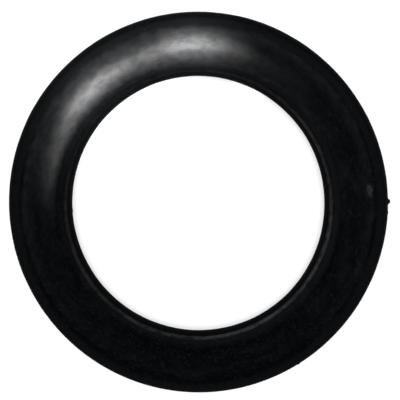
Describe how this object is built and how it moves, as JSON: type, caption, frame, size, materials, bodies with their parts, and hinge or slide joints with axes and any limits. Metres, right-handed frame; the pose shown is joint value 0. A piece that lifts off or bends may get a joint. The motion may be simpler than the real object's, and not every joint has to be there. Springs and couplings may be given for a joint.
{
  "type": "o-ring",
  "caption": "Moulded black rubber sealing ring of round section, with a fine parting ridge round its bore and rim.",
  "frame": {"origin": "centre of the ring, on its axis at mid-plane", "axes": "+Z along the ring's axis, up out of the surface that the ring lies on; +X and +Y are any two radii"},
  "size_m": [0.0324, 0.0324, 0.0054],
  "materials": {
    "nitrile_rubber": "satin"
  },
  "bodies": {
    "root": {"o_ring": "nitrile_rubber"}
  },
  "joints": []
}
